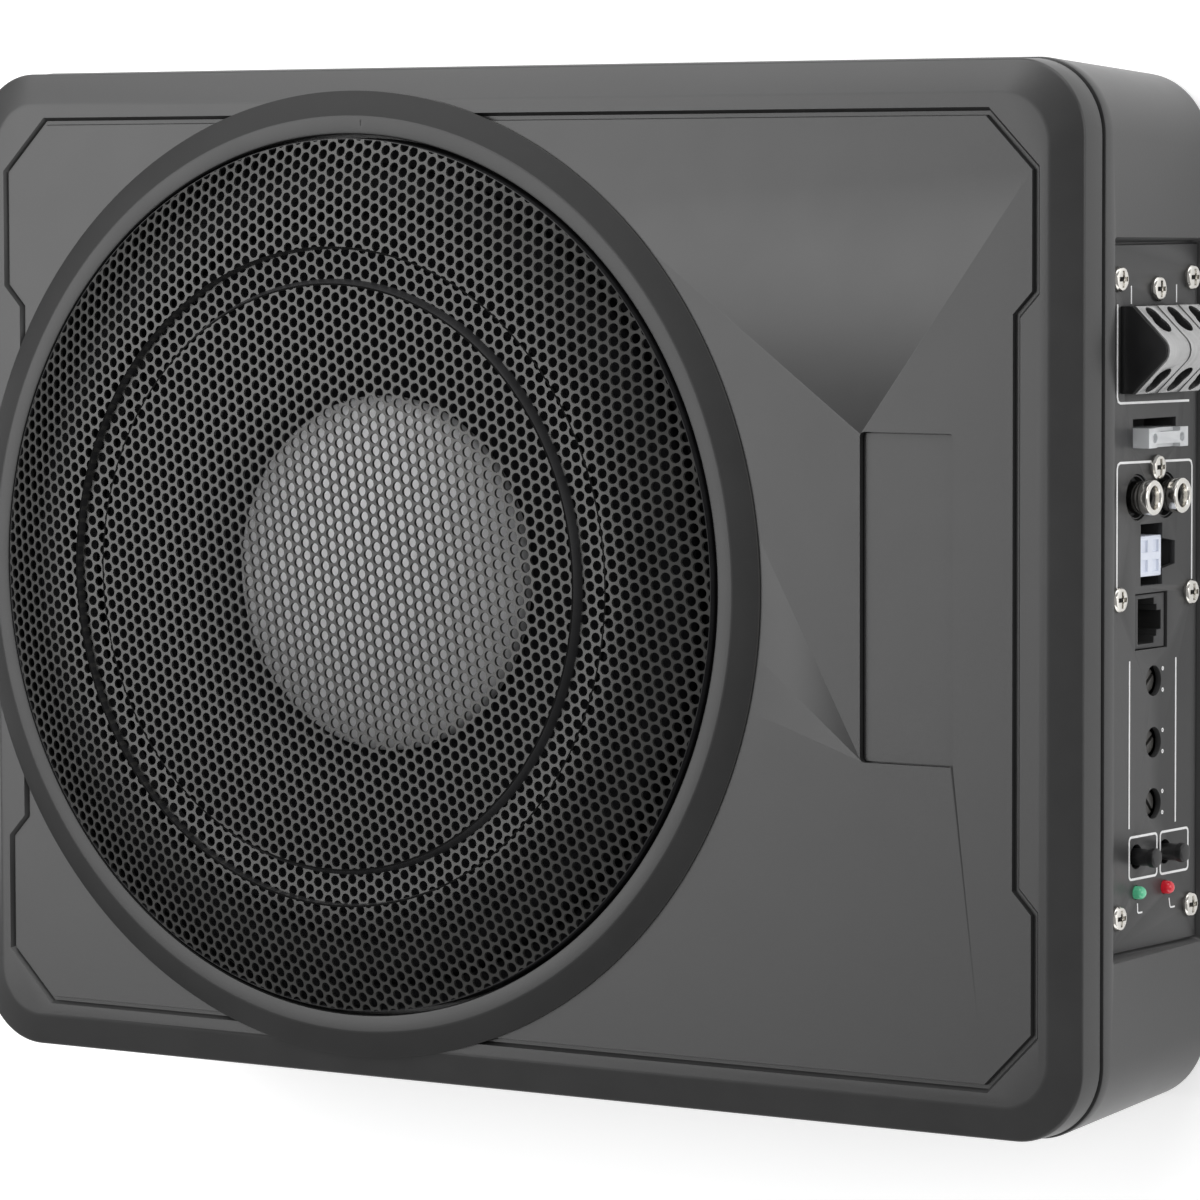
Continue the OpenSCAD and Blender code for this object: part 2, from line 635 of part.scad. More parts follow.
module board_standoffs() color([0.7, 0.7, 0.7]) for (x = [92, 146], y = [-76, 76])
    translate([x, y, back_z + wall + 0.3]) tube(2.8, 1.5, board_z - back_z - wall - 0.32);

module heatsink() color([0.6, 0.6, 0.62]) {
    translate([90, -66, board_z + board_t + 0.02]) cube([3, 70, 24]);
    for (k = [0:6]) translate([92.9, -65 + k * 11, board_z + board_t + 0.02]) cube([9, 1.6, 24]);
}

module power_transistors() color([0.08, 0.08, 0.08]) for (k = [0:3])
    translate([85.4, -60 + k * 16, board_z + board_t + 4]) cube([4.5, 10, 15]);

module capacitors() color([0.1, 0.12, 0.2]) for (p = [[120, -60, 8], [138, -44, 6], [120, -38, 8], [134, 34, 5]])
    translate([p.x, p.y, board_z + board_t + 0.02]) cylinder(r = p.z, h = 22);

module choke() color([0.5, 0.3, 0.12]) translate([112, 52, board_z + board_t + 8.6]) rotate_extrude()
    translate([11, 0]) circle(6.5);

front_cover();
rear_housing();
cover_gasket();
cover_screws();
mounting_inserts();
grille_ring();
grille();
driver_basket();
driver_screws();
surround();
cone();
dust_cap();
spider();
voice_coil_former();
voice_coil();
top_plate();
magnet();
back_plate();
terminal_tag();
tinsel_leads();
speaker_leads();
end_panel();
panel_screws();
jack_screws();
terminal_block();
terminal_plates();
clamp_screws();
fuse_socket();
fuse();
rca_jack_front();
rca_jack_rear();
rca_insulators();
rca_block();
header_frame();
header();
header_pins();
remote_jack();
remote_contacts();
gain_control();
gain_shaft();
boost_control();
boost_shaft();
low_pass_control();
low_pass_shaft();
phase_switch();
phase_button();
auto_switch();
auto_button();
power_led();
protect_led();
circuit_board();
board_standoffs();
heatsink();
power_transistors();
capacitors();
choke();
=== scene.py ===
"""Powered car subwoofer: the visual model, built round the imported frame. Metres throughout."""
import json
import math

import bmesh
import bpy
from mathutils import Matrix, Vector
from mathutils.geometry import delaunay_2d_cdt
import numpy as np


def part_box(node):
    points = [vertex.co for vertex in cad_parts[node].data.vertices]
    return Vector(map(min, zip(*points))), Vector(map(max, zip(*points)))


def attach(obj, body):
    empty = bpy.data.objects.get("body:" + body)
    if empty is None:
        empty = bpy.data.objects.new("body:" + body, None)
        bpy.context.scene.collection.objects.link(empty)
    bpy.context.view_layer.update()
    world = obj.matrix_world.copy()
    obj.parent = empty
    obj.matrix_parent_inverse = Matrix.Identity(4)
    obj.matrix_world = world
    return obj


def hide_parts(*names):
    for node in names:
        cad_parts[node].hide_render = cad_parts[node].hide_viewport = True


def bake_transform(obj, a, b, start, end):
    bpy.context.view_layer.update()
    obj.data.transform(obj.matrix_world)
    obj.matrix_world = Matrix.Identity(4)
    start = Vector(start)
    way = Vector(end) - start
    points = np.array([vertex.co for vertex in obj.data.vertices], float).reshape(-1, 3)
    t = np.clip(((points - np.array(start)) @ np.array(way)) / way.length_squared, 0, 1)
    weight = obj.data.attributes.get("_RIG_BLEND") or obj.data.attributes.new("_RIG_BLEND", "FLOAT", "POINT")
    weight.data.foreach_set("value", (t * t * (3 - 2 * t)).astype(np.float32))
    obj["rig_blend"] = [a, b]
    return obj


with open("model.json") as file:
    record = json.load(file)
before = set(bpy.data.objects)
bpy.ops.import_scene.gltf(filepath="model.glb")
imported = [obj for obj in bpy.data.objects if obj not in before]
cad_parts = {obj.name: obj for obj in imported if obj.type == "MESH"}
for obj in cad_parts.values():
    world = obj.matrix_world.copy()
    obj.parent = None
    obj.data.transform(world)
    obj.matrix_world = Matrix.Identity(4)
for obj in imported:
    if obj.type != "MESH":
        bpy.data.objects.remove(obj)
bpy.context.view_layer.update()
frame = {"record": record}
MM = 0.001
scene = bpy.context.scene
SLOTS = {row["node"]: row["material_slot"] for row in frame["record"]["subparts"]}

# ---------------------------------------------------------------- sizes read from the frame
COVER_LO, COVER_HI = (Vector(c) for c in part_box("front_cover"))
HOUSE_LO, HOUSE_HI = (Vector(c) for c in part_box("rear_housing"))
RING_LO, RING_HI = (Vector(c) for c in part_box("grille_ring"))
GRILLE_LO, GRILLE_HI = (Vector(c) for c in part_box("grille"))
PANEL_LO, PANEL_HI = (Vector(c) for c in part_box("end_panel"))

HALF_X = COVER_HI.x
HALF_Y = COVER_HI.y
FRONT_Z = COVER_HI.z
HUB = Vector(((RING_LO.x + RING_HI.x) / 2, 0, 0))  # a point on the driver's axis
RING_R = (RING_HI.x - RING_LO.x) / 2
GRILLE_R = (GRILLE_HI.x - GRILLE_LO.x) / 2
CORNER_R = 18 * MM
WALL = 3 * MM
FACE_X = PANEL_HI.x
PANEL_Z = PANEL_LO.z + 20.4 * MM  # centre line of the panel's screws and controls

# ---------------------------------------------------------------- materials
# colour, roughness and its spread, mottling and its scale, then the bump's scale, strength and mm
LOOKS = {
    "cast_black": ((0.0245, 0.0245, 0.0247), 0.36, 0.05, 0.10, 60, 1500, 0.25, 0.05),
    "ring_black": ((0.0175, 0.0175, 0.0176), 0.42, 0.05, 0.10, 60, 1500, 0.25, 0.05),
    "ring_slope": ((0.024, 0.024, 0.0241), 0.6, 0.05, 0.10, 60, 1500, 0.25, 0.05),
    # painted highlight: a light grey for the ring's foot, in place of the bright line light draws along it
    "ring_foot_painted_highlight": ((0.08, 0.08, 0.078), 0.4, 0.05, 0.10, 60, 1500, 0.25, 0.05),
    # painted light: a lighter grey for the pocket's end walls, which fall in shade
    "pocket_end_painted_light": ((0.075, 0.075, 0.0757), 0.42, 0.05, 0.10, 60, 1500, 0.25, 0.05),
    "housing_black": ((0.036, 0.036, 0.0364), 0.36, 0.05, 0.10, 60, 1500, 0.25, 0.05),
    "panel_paint": ((0.036, 0.036, 0.0365), 0.42, 0.05, 0.10, 90, 1800, 0.2, 0.04),
    "grille_steel": ((0.042, 0.0415, 0.040), 0.34, 0.08, 0.15, 150, 1600, 0.2, 0.03),
    "rubber": ((0.006, 0.006, 0.007), 0.75, 0.08, 0.2, 80, 700, 0.3, 0.08),
    "cone_paper": ((0.004, 0.004, 0.005), 0.85, 0.08, 0.25, 300, 2200, 0.5, 0.12),
    "cap_metal": ((0.72, 0.72, 0.73), 0.42, 0.06, 0.05, 40, 2500, 0.1, 0.02),
    "spider_cloth": ((0.55, 0.38, 0.14), 0.85, 0.05, 0.2, 500, 3000, 0.6, 0.2),
    "coil_former": ((0.42, 0.26, 0.10), 0.5, 0.08, 0.15, 200, 900, 0.1, 0.03),
    "copper": ((0.72, 0.33, 0.15), 0.3, 0.08, 0.15, 300, 1800, 0.3, 0.05),
    "motor_steel": ((0.28, 0.28, 0.29), 0.35, 0.1, 0.15, 90, 1200, 0.2, 0.03),
    "ferrite": ((0.03, 0.03, 0.033), 0.6, 0.1, 0.2, 90, 900, 0.4, 0.08),
    "brass": ((0.72, 0.52, 0.20), 0.3, 0.08, 0.1, 200, 1500, 0.1, 0.03),
    "steel": ((0.45, 0.45, 0.45), 0.3, 0.1, 0.12, 250, 1500, 0.15, 0.03),
    "nickel": ((0.72, 0.70, 0.66), 0.17, 0.05, 0.08, 400, 2200, 0.08, 0.02),
    "terminal_steel": ((0.42, 0.42, 0.42), 0.32, 0.06, 0.12, 120, 1500, 0.2, 0.03),
    "black_plastic": ((0.009, 0.009, 0.0095), 0.42, 0.08, 0.2, 200, 1400, 0.2, 0.04),
    "jack_plastic": ((0.036, 0.036, 0.037), 0.5, 0.06, 0.1, 200, 1400, 0.2, 0.04),
    "shaft_plastic": ((0.05, 0.048, 0.045), 0.4, 0.08, 0.15, 300, 1400, 0.15, 0.03),
    "white_plastic": ((0.72, 0.76, 0.86), 0.4, 0.06, 0.04, 200, 1400, 0.1, 0.03),
    "wire_jacket": ((0.25, 0.015, 0.015), 0.45, 0.06, 0.1, 200, 900, 0.1, 0.03),
    "board_green": ((0.01, 0.09, 0.03), 0.35, 0.08, 0.3, 250, 1200, 0.2, 0.04),
    "bare_aluminium": ((0.55, 0.55, 0.57), 0.35, 0.1, 0.1, 100, 1200, 0.15, 0.03),
    "capacitor_sleeve": ((0.02, 0.025, 0.07), 0.25, 0.05, 0.1, 200, 900, 0.05, 0.03),
    "print_white": ((0.80, 0.80, 0.80), 0.5, 0.05, 0.05, 500, 2500, 0.1, 0.01),
    "floor": ((0.9, 0.9, 0.9), 0.9, 0.03, 0.01, 3, 30, 0.02, 0.03),
    "fuse_clear": ((0.93, 0.95, 0.97), 0.12, 0.05, 0.03, 300, 900, 0.1, 0.03),
    "led_green": ((0.10, 0.50, 0.28), 0.16, 0.04, 0.06, 300, 900, 0.02, 0.03),
    "led_red": ((0.62, 0.010, 0.025), 0.16, 0.04, 0.06, 300, 900, 0.02, 0.03),
    # painted shade: a darker steel for the grille's flange and the channel's walls
    "grille_shade": ((0.012, 0.012, 0.013), 0.5, 0.08, 0.15, 150, 1600, 0.2, 0.03),
    # painted shadow: a near-black for the thin lines along the channel's edges
    "grille_line": ((0.003, 0.003, 0.003), 0.85, 0.05, 0.15, 150, 1600, 0.2, 0.03),
    # black plastic darkened with painted shade: the fuse socket, the header frame and the inside of the
    # remote socket
    "socket_black_and_painted_shade": ((0.006, 0.006, 0.006), 0.7, 0.08, 0.15, 150, 1600, 0.2, 0.03),
}
# other values of the shader
EXTRAS = {
    "ring_slope": {"Specular IOR Level": 0.25},
    "grille_steel": {"Metallic": 0.3},
    "rubber": {"Specular IOR Level": 0.12},
    "cone_paper": {"Specular IOR Level": 0.12},
    "cap_metal": {"Metallic": 0.35},
    "copper": {"Metallic": 1.0},
    "motor_steel": {"Metallic": 0.9},
    "brass": {"Metallic": 1.0},
    "steel": {"Metallic": 1.0},
    "nickel": {"Metallic": 1.0},
    "terminal_steel": {"Metallic": 0.9},
    "bare_aluminium": {"Metallic": 1.0},
    "floor": {"Emission Color": (1, 1, 1, 1), "Emission Strength": 0.45},
    "fuse_clear": {"Transmission Weight": 0.45, "IOR": 1.49},
    "led_green": {"Coat Weight": 0.6, "Emission Color": (0.1, 0.6, 0.3, 1), "Emission Strength": 0.12},
    "led_red": {"Coat Weight": 0.6, "Emission Color": (0.8, 0.02, 0.04, 1), "Emission Strength": 0.12},
    "grille_line": {"Specular IOR Level": 0.1},
}
# brushed metals: how much finer the pattern is along each axis
STRETCH = {"terminal_steel": (1, 1, 6), "bare_aluminium": (1, 1, 8)}


def node_maker(tree):
    """A function that adds a node to the tree, with its inputs or settings given by name."""
    def make(kind, **values):
        node = tree.nodes.new(kind)
        for key, value in values.items():
            if key in node.inputs:
                node.inputs[key].default_value = value
            else:
                setattr(node, key, value)
        return node

    return make


def tint(color, factor):
    return tuple(min(1, c * factor) for c in color[:3]) + (1,)


def surface(name, color, rough, rough_var, shade_var, scale, grain, bump, bump_mm):
    """Colour and roughness mottled by one noise, and a fine bump from another."""
    mat = bpy.data.materials.new(name)
    mat.use_nodes = True
    shader = mat.node_tree.nodes["Principled BSDF"]
    make = node_maker(mat.node_tree)
    link = mat.node_tree.links.new
    coords = make("ShaderNodeTexCoord")
    mapping = make("ShaderNodeMapping", Scale=STRETCH.get(name, (1, 1, 1)))
    link(coords.outputs["Object"], mapping.inputs["Vector"])
    broad = make("ShaderNodeTexNoise", Scale=scale, Detail=5.0, Roughness=0.6)
    fine = make("ShaderNodeTexNoise", Scale=grain, Detail=3.0, Roughness=0.55)
    link(mapping.outputs["Vector"], broad.inputs["Vector"])
    link(mapping.outputs["Vector"], fine.inputs["Vector"])
    ramp = make("ShaderNodeValToRGB")
    for stop, position, factor in zip(ramp.color_ramp.elements, (0.3, 0.7), (1 - shade_var, 1 + shade_var)):
        stop.position = position
        stop.color = tint(color, factor)
    link(broad.outputs["Fac"], ramp.inputs["Fac"])
    link(ramp.outputs["Color"], shader.inputs["Base Color"])
    span = make("ShaderNodeMapRange")
    span.inputs["To Min"].default_value = max(0.02, rough - rough_var)
    span.inputs["To Max"].default_value = min(1.0, rough + rough_var)
    link(broad.outputs["Fac"], span.inputs["Value"])
    link(span.outputs["Result"], shader.inputs["Roughness"])
    bumps = make("ShaderNodeBump", Strength=bump, Distance=bump_mm * MM)
    link(fine.outputs["Fac"], bumps.inputs["Height"])
    link(bumps.outputs["Normal"], shader.inputs["Normal"])
    for key, value in EXTRAS.get(name, {}).items():
        shader.inputs[key].default_value = value
    return mat


def paint_shade_middle(mat, near, far, low):
    """Paints shade into a material round the driver's axis: darker to low inside near, not at all beyond
    far.
    """
    shader = mat.node_tree.nodes["Principled BSDF"]
    plain = shader.inputs["Base Color"].links[0].from_socket
    make = node_maker(mat.node_tree)
    link = mat.node_tree.links.new
    coords = make("ShaderNodeTexCoord")
    offset = make("ShaderNodeVectorMath", operation="SUBTRACT")
    offset.inputs[1].default_value = HUB
    flat = make("ShaderNodeVectorMath", operation="MULTIPLY")
    flat.inputs[1].default_value = (1, 1, 0)
    reach = make("ShaderNodeVectorMath", operation="LENGTH")
    ramp = make("ShaderNodeMapRange", **{"From Min": near, "From Max": far, "To Min": low, "To Max": 1.0})
    scaled = make("ShaderNodeVectorMath", operation="SCALE")
    link(coords.outputs["Object"], offset.inputs[0])
    link(offset.outputs["Vector"], flat.inputs[0])
    link(flat.outputs["Vector"], reach.inputs[0])
    link(reach.outputs["Value"], ramp.inputs["Value"])
    link(plain, scaled.inputs[0])
    link(ramp.outputs["Result"], scaled.inputs["Scale"])
    link(scaled.outputs["Vector"], shader.inputs["Base Color"])


MATS = {name: surface(name, *look) for name, look in LOOKS.items()}
# painted shade: the grille's steel darker over the dust cap
paint_shade_middle(MATS["grille_steel"], 26 * MM, 50 * MM, 0.35)


# ---------------------------------------------------------------- mesh helpers
SMALL_STEPS = 5  # steps round a small corner


def set_material(piece, mat):
    piece.data.materials.clear()
    piece.data.materials.append(MATS[mat])


def finish_mesh(piece, mat):
    """Points all of the normals outwards, and gives the piece its one material."""
    bm = bmesh.new()
    bm.from_mesh(piece.data)
    bmesh.ops.recalc_face_normals(bm, faces=bm.faces)
    bm.to_mesh(piece.data)
    bm.free()
    set_material(piece, mat)


def new_piece(name, verts, faces, mat):
    mesh = bpy.data.meshes.new(name)
    mesh.from_pydata([tuple(v) for v in verts], [], faces)
    mesh.validate()
    piece = bpy.data.objects.new(name, mesh)
    scene.collection.objects.link(piece)
    finish_mesh(piece, mat)
    return piece


def shade(piece, angle):
    """Smooth faces, sharp where two faces meet at more than the angle."""
    mesh = piece.data
    for poly in mesh.polygons:
        poly.use_smooth = True
    bm = bmesh.new()
    bm.from_mesh(mesh)
    limit = math.radians(angle)
    for edge in bm.edges:
        if len(edge.link_faces) == 2:
            edge.smooth = edge.calc_face_angle(0) < limit
    bm.to_mesh(mesh)
    bm.free()


def apply_modifiers(piece):
    deps = bpy.context.evaluated_depsgraph_get()
    mesh = bpy.data.meshes.new_from_object(piece.evaluated_get(deps))
    piece.modifiers.clear()
    piece.data = mesh


def bevelled(piece, width, angle):
    """Rounds the edges that are sharper than the angle."""
    mod = piece.modifiers.new("bevel", "BEVEL")
    mod.width = width
    mod.segments = 2
    mod.limit_method = "ANGLE"
    mod.angle_limit = math.radians(angle)
    mod.use_clamp_overlap = True
    apply_modifiers(piece)
    shade(piece, 40)


def combine(piece, other, operation):
    """Joins another piece on, or takes its volume out, and deletes it."""
    mod = piece.modifiers.new("combine", "BOOLEAN")
    mod.operation = operation
    mod.solver = "EXACT"
    mod.object = other
    apply_modifiers(piece)
    bpy.data.objects.remove(other)


def cutter(verts, faces):
    return new_piece("cutter", verts, faces, "cast_black")


def cut(piece, verts, faces):
    combine(piece, cutter(verts, faces), "DIFFERENCE")


def rounded_rect(half_x, half_y, radius, z, steps=20):
    """Points of a rounded rectangle, anticlockwise."""
    points = []
    centres = [(1, 1, 0), (-1, 1, 90), (-1, -1, 180), (1, -1, 270)]
    for sx, sy, start in centres:
        for k in range(steps + 1):
            a = math.radians(start + 90 * k / steps)
            points.append(Vector((sx * (half_x - radius) + radius * math.cos(a),
                                  sy * (half_y - radius) + radius * math.sin(a), z)))
    return points


def circle_points(r, n, turn=0.0):
    angles = [turn + 2 * math.pi * k / n for k in range(n)]
    return [(r * math.cos(a), r * math.sin(a)) for a in angles]


def loft(loops, cap_start=True, cap_end=True):
    """Vertices and faces of a skin through loops that have the same number of points."""
    verts = [v for loop in loops for v in loop]
    n = len(loops[0])
    faces = []
    for i in range(len(loops) - 1):
        for k in range(n):
            a, b = i * n + k, i * n + (k + 1) % n
            faces.append((a, b, b + n, a + n))
    if cap_start:
        faces.append(tuple(reversed(range(n))))
    if cap_end:
        faces.append(tuple(range((len(loops) - 1) * n, len(loops) * n)))
    return verts, faces


def closed_loft(loops):
    """A skin through loops whose last one joins the first, as a frame does."""
    verts, faces = loft(loops, False, False)
    n = len(loops[0])
    last = (len(loops) - 1) * n
    return verts, faces + [(k, last + k, last + (k + 1) % n, (k + 1) % n) for k in range(n)]


def box_skin(lo, hi, radius=0.01 * MM):
    """A block with rounded corners, seen along the X axis."""
    (x0, y0, z0), (x1, y1, z1) = lo, hi
    flat = rounded_rect((y1 - y0) / 2, (z1 - z0) / 2, radius, 0, SMALL_STEPS)
    cy, cz = (y0 + y1) / 2, (z0 + z1) / 2
    return loft([[Vector((x, cy + p.x, cz + p.y)) for p in flat] for x in (x0, x1)])


def revolve(profile, steps):
    """Skin of a closed profile of (radius, z) turned about the driver's axis."""
    verts, faces = [], []
    n = len(profile)
    for k in range(steps):
        a = 2 * math.pi * k / steps
        for r, z in profile:
            verts.append((HUB.x + r * math.cos(a), HUB.y + r * math.sin(a), z))
    for k in range(steps):
        nxt = (k + 1) % steps
        for i in range(n):
            j = (i + 1) % n
            faces.append((k * n + i, nxt * n + i, nxt * n + j, k * n + j))
    return verts, faces


def inset_outline(points, distance):
    """Moves each side of a convex or notched outline inwards (anticlockwise points)."""
    out = []
    n = len(points)
    for i in range(n):
        p, q, r = (Vector(points[(i + k) % n][:2]) for k in (-1, 0, 1))
        d1, d2 = (q - p).normalized(), (r - q).normalized()
        n1, n2 = Vector((-d1.y, d1.x)), Vector((-d2.y, d2.x))
        mitre = (n1 + n2).normalized()
        out.append(q + mitre * (distance / max(0.2, mitre.dot(n1))))
    return out


def replace_with(piece, body, node):
    """Puts a piece in place of a CAD node, on its body."""
    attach(piece, body)
    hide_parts(node)


def copy_node(node, suffix, mat):
    """A copy of a CAD node with one material, to be reshaped."""
    source = bpy.data.objects[node]
    piece = bpy.data.objects.new(node + suffix, source.data.copy())
    scene.collection.objects.link(piece)
    piece.matrix_world = source.matrix_world.copy()
    set_material(piece, mat)
    return piece


def soften(node, mat, width, body="enclosure"):
    """A copy of a CAD node with its edges rounded, in place of the node."""
    piece = copy_node(node, "_soft", mat)
    bm = bmesh.new()
    bm.from_mesh(piece.data)
    bmesh.ops.remove_doubles(bm, verts=bm.verts, dist=1e-6)
    bmesh.ops.dissolve_limit(bm, angle_limit=math.radians(1.0), verts=bm.verts, edges=bm.edges)
    bm.to_mesh(piece.data)
    bm.free()
    bevelled(piece, width, 30)
    replace_with(piece, body, node)


# ---------------------------------------------------------------- camera, floor and light
CAMERA_AT = Vector((0.8439, 0.0956, 1.2520))
CAMERA_YAW, CAMERA_PITCH, CAMERA_ROLL = 34.44, 3.94, 0.17
LENS = 179.6
LIGHT_AIM = Vector((0, 0, 0.05))
# name, direction from the object, distance, size and power
LIGHTS = (
    ("key", (-0.63, 0.10, 0.77), 1.6, 1.0, 12),
    ("key_back", (-0.45, 0.70, 0.55), 1.9, 1.2, 16),
    ("fill_back", (0.2, 1.0, 0.35), 2.2, 1.6, 18),
    ("fill_front", (0.3, -1.0, 0.4), 2.2, 1.6, 10),
    ("fill_end", (1.0, 0.25, 0.35), 2.2, 1.2, 10.5),
)
WORLD_LIGHT = 0.34
FLOOR_HALF = 12.0


def add_camera():
    camera = bpy.data.objects.new("camera", bpy.data.cameras.new("camera"))
    scene.collection.objects.link(camera)
    camera.data.lens = LENS
    camera.data.sensor_width = 36
    camera.data.clip_start = 0.05
    camera.data.clip_end = 50
    turn = (Matrix.Rotation(math.radians(CAMERA_YAW), 4, "Y")
            @ Matrix.Rotation(-math.radians(CAMERA_PITCH), 4, "X")
            @ Matrix.Rotation(-math.radians(CAMERA_ROLL), 4, "Z"))
    camera.matrix_world = Matrix.Translation(CAMERA_AT) @ turn
    scene.camera = camera


def area_light(name, direction, distance, size, power):
    """A square light that faces the object."""
    light = bpy.data.lights.new(name, "AREA")
    light.shape = "SQUARE"
    light.size = size
    light.energy = power
    lamp = bpy.data.objects.new(name, light)
    scene.collection.objects.link(lamp)
    lamp.location = LIGHT_AIM + Vector(direction).normalized() * distance
    lamp.rotation_euler = (LIGHT_AIM - lamp.location).to_track_quat("-Z", "Y").to_euler()


def add_stage():
    s = FLOOR_HALF
    floor = new_piece("floor", [(-s, -s, 0), (s, -s, 0), (s, s, 0), (-s, s, 0)], [(0, 1, 2, 3)], "floor")
    world = bpy.data.worlds.new("studio")
    scene.world = world
    world.use_nodes = True
    background = world.node_tree.nodes["Background"]
    background.inputs["Color"].default_value = (1, 1, 1, 1)
    background.inputs["Strength"].default_value = WORLD_LIGHT
    for light in LIGHTS:
        area_light(*light)
    scene.view_settings.view_transform = "Standard"
    scene.view_settings.look = "None"


# ---------------------------------------------------------------- enclosure
CHAMFER = 0.35 * MM  # on both sides of the seam
BEVEL_W = 8 * MM
BEVEL_D = 2.4 * MM
COVER_T = 3.4 * MM
# sections of the groove and of the gap round the badge recess's floor: mm inwards, mm down
GROOVE = ((-0.2, -0.2), (0.0, 0.0), (0.85, 1.1), (1.75, 1.1), (2.0, 0.0), (2.05, -0.2))
BADGE_GAP = ((-0.01, 1.3), (-0.01, 2.1), (0.35, 2.1), (0.35, 1.3))
BADGE_MM = (12.7, 38.7, 1.2)  # half width, half height and corner radius
BADGE_X = 118 * MM
BADGE_DROP = 1.4
DRIVER_HOLE_R = 117.8 * MM
DRIVER_BORE_R = 104 * MM
SEAT_IN = 103 * MM
SEAT_OUT = 120.6 * MM
DRAFT_X, DRAFT_Y = 0.045, 0.058  # slopes of the housing's ends and sides
LIP = 0.4 * MM
REAR_ROUND = 3.5 * MM
RING_IN = 108.9 * MM


def groove_outline():
    """Outer line of the groove in the front: cut corners, and a shallow waist at both ends."""
    half_x, corner_x = 153.6 * MM, 140.1 * MM
    half_y, corner_y = 113.8 * MM, 100.3 * MM
    waist_x, waist_hi, waist_lo = 148.55 * MM, 70.9 * MM, 65.6 * MM
    quarter = [(waist_x, waist_lo), (half_x, waist_hi), (half_x, corner_y), (corner_x, half_y)]
    top = quarter + [(-x, y) for x, y in reversed(quarter)]
    return top + [(-x, -y) for x, y in top]


def cover_outline(inset, z):
    return rounded_rect(HALF_X - inset, HALF_Y - inset, CORNER_R - inset * 0.75, z)


def badge_outline(inset, drop):
    """The badge recess's outline, so many mm inwards and down."""
    half_x, half_y, radius = ((size - inset) * MM for size in BADGE_MM)
    at = Vector((BADGE_X, 0, 0))
    return [p + at + Vector((0, 0, FRONT_Z - drop * MM))
            for p in rounded_rect(half_x, half_y, radius, 0, SMALL_STEPS)]


def front_cover():
    low = COVER_LO.z
    bevel_z = FRONT_Z - BEVEL_D
    # up the side, round the edge of the bevel, up the bevel and round onto the front
    sides = ((CHAMFER, low), (0, low + CHAMFER),
             (0, bevel_z - 0.7 * MM), (0.1 * MM, bevel_z - 0.35 * MM),
             (0.32 * MM, bevel_z - 0.08 * MM), (0.7 * MM, bevel_z + 0.1 * MM),
             (BEVEL_W - 0.6 * MM, FRONT_Z - 0.16 * MM), (BEVEL_W - 0.1 * MM, FRONT_Z - 0.05 * MM),
             (BEVEL_W + 0.5 * MM, FRONT_Z))
    cover = new_piece("front_cover_shell", *loft([cover_outline(*side) for side in sides]), "cast_black")
    outer = groove_outline()
    groove = [[Vector((p.x, p.y, FRONT_Z - drop * MM)) for p in inset_outline(outer, inset * MM)]
              for inset, drop in GROOVE]
    cut(cover, *closed_loft(groove))
    cut(cover, *loft([badge_outline(0, BADGE_DROP), badge_outline(0, -5)]))
    cut(cover, *closed_loft([badge_outline(*step) for step in BADGE_GAP]))
    # the hole for the driver and its grille, and the narrower bore under it
    for r, z in ((DRIVER_HOLE_R, low + 2.7 * MM), (DRIVER_BORE_R, low - 10 * MM)):
        cut(cover, *loft([[Vector((HUB.x + x, y, height)) for x, y in circle_points(r, 160)]
                          for height in (z, FRONT_Z + 10 * MM)]))
    # hollow behind, apart from the driver's seat
    plug = cutter(*loft([cover_outline(WALL, low - 10 * MM), cover_outline(WALL, FRONT_Z - COVER_T)]))
    seat_low = low - 20 * MM
    seat = [(SEAT_IN, seat_low), (SEAT_OUT, seat_low), (SEAT_OUT, FRONT_Z), (SEAT_IN, FRONT_Z)]
    cut(plug, *revolve(seat, 160))
    combine(cover, plug, "DIFFERENCE")
    finish_mesh(cover, "cast_black")
    bevelled(cover, 0.22 * MM, 35)
    replace_with(cover, "enclosure", "front_cover")


def wall_in(z, draft):
    """How far a wall leans in at height z: its draft, and the round at the rear edge."""
    lean = draft * (HOUSE_HI.z - z) - LIP
    if z < REAR_ROUND:
        lean += REAR_ROUND - math.sqrt(REAR_ROUND ** 2 - (REAR_ROUND - z - 0.01 * MM) ** 2)
    return lean


def housing_loops(inset, low, high):
    """Outlines of the housing's wall, closest together at the rear edge's round."""
    loops = []
    steps = 40
    for k in range(steps + 1):
        z = low + (high - low) * (k / steps) ** 2.4
        wall_z = min(max(z, HOUSE_LO.z), HOUSE_HI.z)
        loops.append(rounded_rect(HALF_X - wall_in(wall_z, DRAFT_X) - inset,
                                  HALF_Y - wall_in(wall_z, DRAFT_Y) - inset, CORNER_R - inset, z))
    return loops


